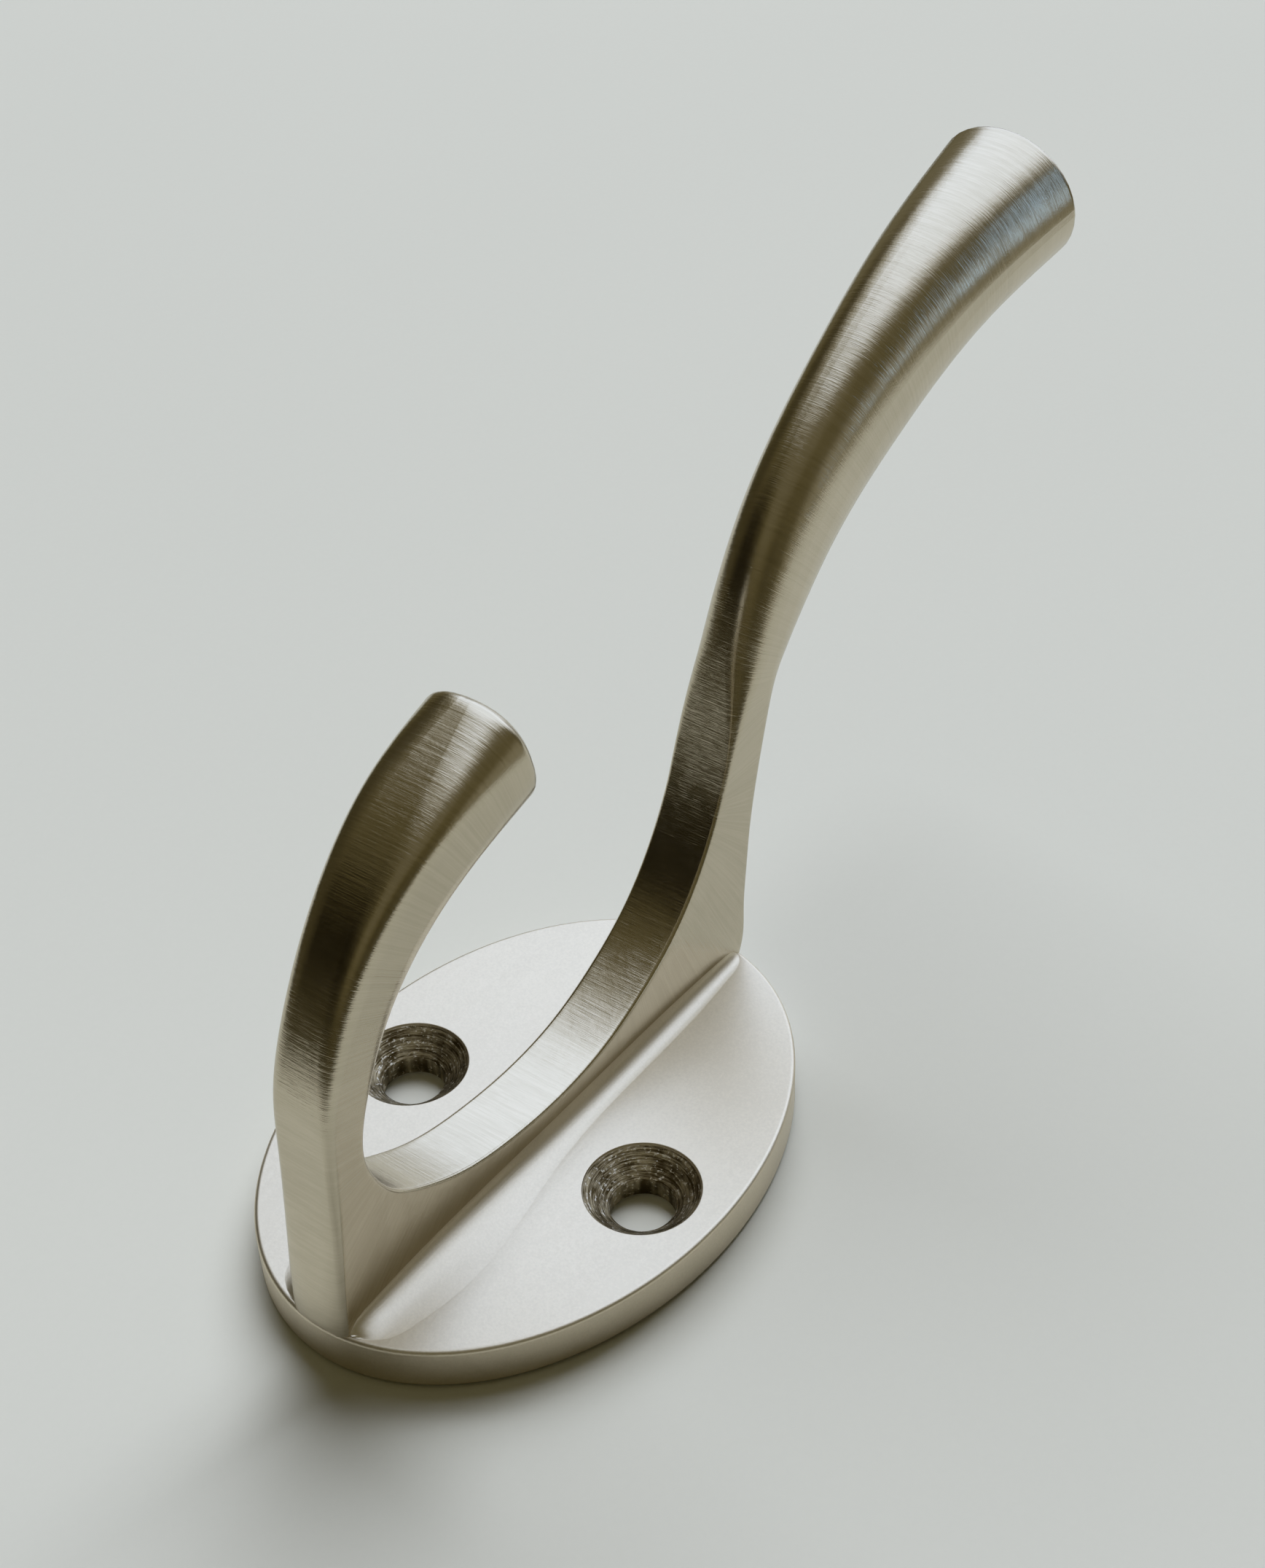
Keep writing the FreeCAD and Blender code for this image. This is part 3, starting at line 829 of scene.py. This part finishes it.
def satin_plate():
    """Nickel on the plate: finer and duller, with faint lines along it, and a painted highlight:
    a lighter copy of the arm's nickel.
    """
    paint = Paint("satin_nickel_plate")
    place = paint.place()
    along = paint.stretch(place, (2600.0, 2600.0, 160.0), (0, 0.75, 0))
    lines = paint.noise(along, 1.0, 3.0, 0.65)
    grain = paint.noise(place, GRAIN, 2.0, 0.6)
    mottle = paint.noise(place, 110.0)
    relief = paint.bump(lines * 0.5 + grain * 0.4, PLATE_RELIEF)
    tone = paint.smooth(mottle * 0.5 + grain * 0.5, 0.35, 0.65)
    colour = paint.blend(tone, PLATE_DULL_PAINTED_LIGHTER, PLATE_NICKEL_PAINTED_LIGHTER)
    roughness = mottle * 0.08 + lines * 0.05 + 0.36
    return paint.finish(Base_Color=colour, Metallic=1.0, Roughness=roughness, Normal=relief)


def raw_sink():
    """The countersinks as they were cut: brown, ringed and speckled with bare metal."""
    paint = Paint("raw_countersink")
    place = paint.place()
    across = paint.math("ABSOLUTE", paint.part(place, "X")) - HOLE_ACROSS * MM
    along = paint.part(place, "Z") + HOLE_DROP * MM
    radius = paint.math("SQRT", across * across + along * along)
    turn = paint.math("ARCTAN2", along, across)
    ringed = paint.node("ShaderNodeCombineXYZ", None, {0: radius * 7000.0, 1: turn * 1.3})
    rings = paint.noise(ringed, 1.0, 3.0, 0.7)
    blotch = paint.noise(place, 700.0, 4.0, 0.65)
    speck = paint.noise(place, 3200.0, 2.0, 0.6)
    bright = paint.smooth(speck * 0.6 + rings * 0.4, 0.55, 0.62)
    stained = paint.smooth(rings * 0.6 + blotch * 0.4, 0.40, 0.62)
    stain = paint.blend(stained, STAIN_DARK, STAIN_PALE)
    colour = paint.blend(bright, stain, BARE_METAL)
    relief = paint.bump(rings + speck * 0.4, SINK_RELIEF)
    roughness = blotch * 0.15 + 0.36
    return paint.finish(Base_Color=colour, Metallic=1.0, Roughness=roughness, Normal=relief)


def pale_board():
    """The board behind the hook: pale, matt and seen from its front alone."""
    paint = Paint("pale_board")
    place = paint.place()
    cloud = paint.noise(place, 6.0, 2.0, 0.5)
    tooth = paint.noise(place, 2200.0, 2.0, 0.6)
    tint = paint.blend(cloud * 0.7 + tooth * 0.3, BOARD_DARK, BOARD_PALE)
    board = paint.node("ShaderNodeBsdfPrincipled", None,
                       {"Base Color": tint, "Roughness": 0.9, "Specular IOR Level": 0.0})
    clear = paint.node("ShaderNodeBsdfTransparent")
    behind = paint.node("ShaderNodeNewGeometry", output="Backfacing")
    paint.close("ShaderNodeOutputMaterial",
                paint.node("ShaderNodeMixShader", None, {0: behind, 1: board, 2: clear}))
    return paint.material


# ------------------------------------------------------------------------ stage
# The board lies this far behind the plate, and its hole and the discs under the screw
# holes are hidden behind the plate by these margins.
BOARD_GAP = 0.2
BOARD_OVERLAP = 1.6
DISC_OVERLAP = 0.9
# How far the board's rings reach to the left, right, bottom and top.
BOARD_MIDDLE = (60, 50, 60, 60)
BOARD_NEAR = (270, 105, 105, 300)
BOARD_FAR = (1500, 1500, 1500, 1500)


def sheet(name, material, rings, discs=()):
    """A flat stretch of the board between rings, with discs in its hole."""
    bm = bmesh.new()
    ring = start_ring(bm, rings[0])
    for spots in rings[1:]:
        ring = next_ring(bm, ring, spots)
    for spots in discs:
        bmesh.ops.contextual_create(bm, geom=start_ring(bm, spots))
    for face in bm.faces:
        face.normal_update()
        if face.normal.y > 0:
            face.normal_flip()
    piece = add_object(name, mesh_of(bm, name))
    piece.data.materials.append(material)
    return piece


def make_board(material):
    """A board just behind the plate, open where the plate covers it. The metal
    mirrors the near sheet; the far one only fills the view."""
    inner = oval_spots(BOARD_OVERLAP, -BOARD_GAP)

    def reach(left, right, low, high):
        ring = []
        for spot in inner:
            x, z = spot.x / PLATE_WIDE, spot.z / PLATE_TALL
            ring.append(Vector((x * (right if x > 0 else left), BOARD_GAP,
                                z * (high if z > 0 else low))))
        return ring

    edge = reach(*BOARD_NEAR)
    discs = [hole_spots(side, BORE + DISC_OVERLAP, -BOARD_GAP) for side in (-1, 1)]
    sheet("near_board", material, [inner, reach(*BOARD_MIDDLE), edge], discs)
    far = sheet("far_board", material, [edge, reach(*BOARD_FAR)])
    far.visible_glossy = False


def heading(bearing, height):
    """A direction: its bearing from +X towards +Z, and its angle off the wall."""
    bearing, height = math.radians(bearing), math.radians(height)
    return Vector((math.cos(bearing) * math.cos(height), -math.sin(height),
                   math.sin(bearing) * math.cos(height)))


def add_light(name, towards, away, size, glow, colour, only=None):
    """A soft panel, placed by its bearing and height, its distance and its width and
    height in metres. It lights the board alone, because the metal mirrors the room;
    a panel with a piece of its own is mirrored by that piece alone."""
    wide, tall = size
    data = bpy.data.lights.new(name, "AREA")
    data.shape = "RECTANGLE"
    data.size, data.size_y = wide, tall
    data.energy = glow * math.pi * wide * tall
    data.color = colour
    lamp = add_object(name, data)
    way = heading(*towards)
    lamp.matrix_world = (Matrix.Translation(way * away)
                         @ way.to_track_quat("Z", "Y").to_matrix().to_4x4())
    lamp.visible_camera = False
    if only is None:
        lamp.visible_glossy = False
    else:
        lamp.visible_diffuse = False
        lit = bpy.data.collections.new(name)
        lit.objects.link(only)
        lamp.light_linking.receiver_collection = lit


# What the metal mirrors, as round patches: bearing and height, how many degrees off
# its middle a patch ends and is full, and the light it adds or takes away.
ROOM_PATCHES = [
    (100, 63, 51, 22, 0.84),
    (118, 40, 30, 13, 0.30),
    (67, 36, 22, 12, 0.32),
    (215, 54, 30, 8, 0.09),
    (98, 22, 42, 20, 0.75),
    (300, 45, 50, 5, 0.15),
    (15, 25, 45, 10, 0.11),
    (140, 5, 30, 5, 0.16),
    (35, -20, 34, 8, 0.24),
    (247, 26, 34, 8, -0.10),
]
ROOM_LEVEL = 0.10
# From olive shade to a bluish white sky.
ROOM_TONES = [
    (0.00, (0.004, 0.003, 0.001)),
    (0.20, (0.060, 0.051, 0.023)),
    (0.40, (0.150, 0.141, 0.106)),
    (0.60, (0.285, 0.295, 0.295)),
    (0.80, (0.455, 0.500, 0.590)),
    (1.00, (0.650, 0.747, 0.970)),
]
ROOM_STRENGTH = 2.0
ROOM_SEEN = (0.61, 0.645, 0.635, 1)


def make_world():
    """The room: one pale tone to look at, and patches of sky and olive shade as the
    metal mirrors it. It doesn't light the board."""
    world = bpy.data.worlds.new("room")
    bpy.context.scene.world = world
    world.use_nodes = True
    world.node_tree.nodes.clear()
    room = Nodes(world.node_tree)
    way = room.node("ShaderNodeTexCoord", output="Generated")

    def patch(bearing, height, edge, core):
        """1 within core degrees of a direction and 0 beyond edge degrees."""
        near = room.node("ShaderNodeVectorMath", {"operation": "DOT_PRODUCT"},
                         {0: way, 1: heading(bearing, height)}, output="Value")
        return room.smooth(near, math.cos(math.radians(edge)), math.cos(math.radians(core)))

    lit = [patch(*place) * light for *place, light in ROOM_PATCHES]
    level = sum(lit[1:], lit[0]) + ROOM_LEVEL
    inside = room.node("ShaderNodeBackground", None,
                       {"Color": room.ramp(level, ROOM_TONES), "Strength": ROOM_STRENGTH})
    seen = room.node("ShaderNodeBackground", None, {"Color": ROOM_SEEN})
    looking = room.node("ShaderNodeLightPath", output="Is Camera Ray")
    both = room.node("ShaderNodeMixShader", None, {0: looking, 1: inside, 2: seen})
    room.close("ShaderNodeOutputWorld", both)
    world.cycles_visibility.diffuse = False


# The camera: where it is and what it looks at in metres, its roll in degrees, its lens
# and sensor in millimetres, and how near it starts to see in metres.
EYE = Vector((0.08847, -0.14337, -0.09798))
AIM = Vector((0.00201, -0.03022, 0.01212))
ROLL = 2.48
LENS = 55.29
SENSOR = 36
NEAREST = 0.01


def make_camera():
    """The camera: low, to the right, and turned so that out from the wall is up."""
    data = bpy.data.cameras.new("camera")
    data.sensor_width = SENSOR
    data.lens = LENS
    data.clip_start = NEAREST
    camera = add_object("camera", data)
    ahead = (AIM - EYE).normalized()
    level = ahead.cross(Vector((0, -1, 0))).normalized()
    upright = level.cross(ahead)
    roll = math.radians(ROLL)
    upward = upright * math.cos(roll) + level * math.sin(roll)
    right = ahead.cross(upward)
    turn = Matrix((right, upward, -ahead)).transposed()
    camera.matrix_world = Matrix.Translation(EYE) @ turn.to_4x4()
    bpy.context.scene.camera = camera


bpy.context.scene.view_settings.view_transform = "Standard"
make_world()
make_camera()
make_board(pale_board())
add_light("shade", (270, 70), 3.0, (5.0, 5.0), 0.13, (1.0, 0.82, 0.36))
add_light("sky", (116, 45), 8.0, (7.2, 7.2), 4.7, (0.985, 1.0, 1.015))

arm_finish = satin_arm()
arm, coat_ring, hat_ring, last_ring = make_arm()
cut_arm(arm, 0, coat_ring, "coat_bar", "coat_prong", arm_finish)
cut_arm(arm, coat_ring, hat_ring, "upright_web", "web", arm_finish)
hat_bar = cut_arm(arm, hat_ring, last_ring, "hat_bar", "hat_prong", arm_finish)
arm.free()
add_light("blue_gap", (40, 10), 1.0, (0.70, 0.10), 2.1, (0.37, 0.60, 1.0), hat_bar)

plate_finish = satin_plate()
make_foot(1, "foot_fillet_right", plate_finish)
make_foot(-1, "foot_fillet_left", plate_finish)
make_plate(plate_finish, raw_sink())
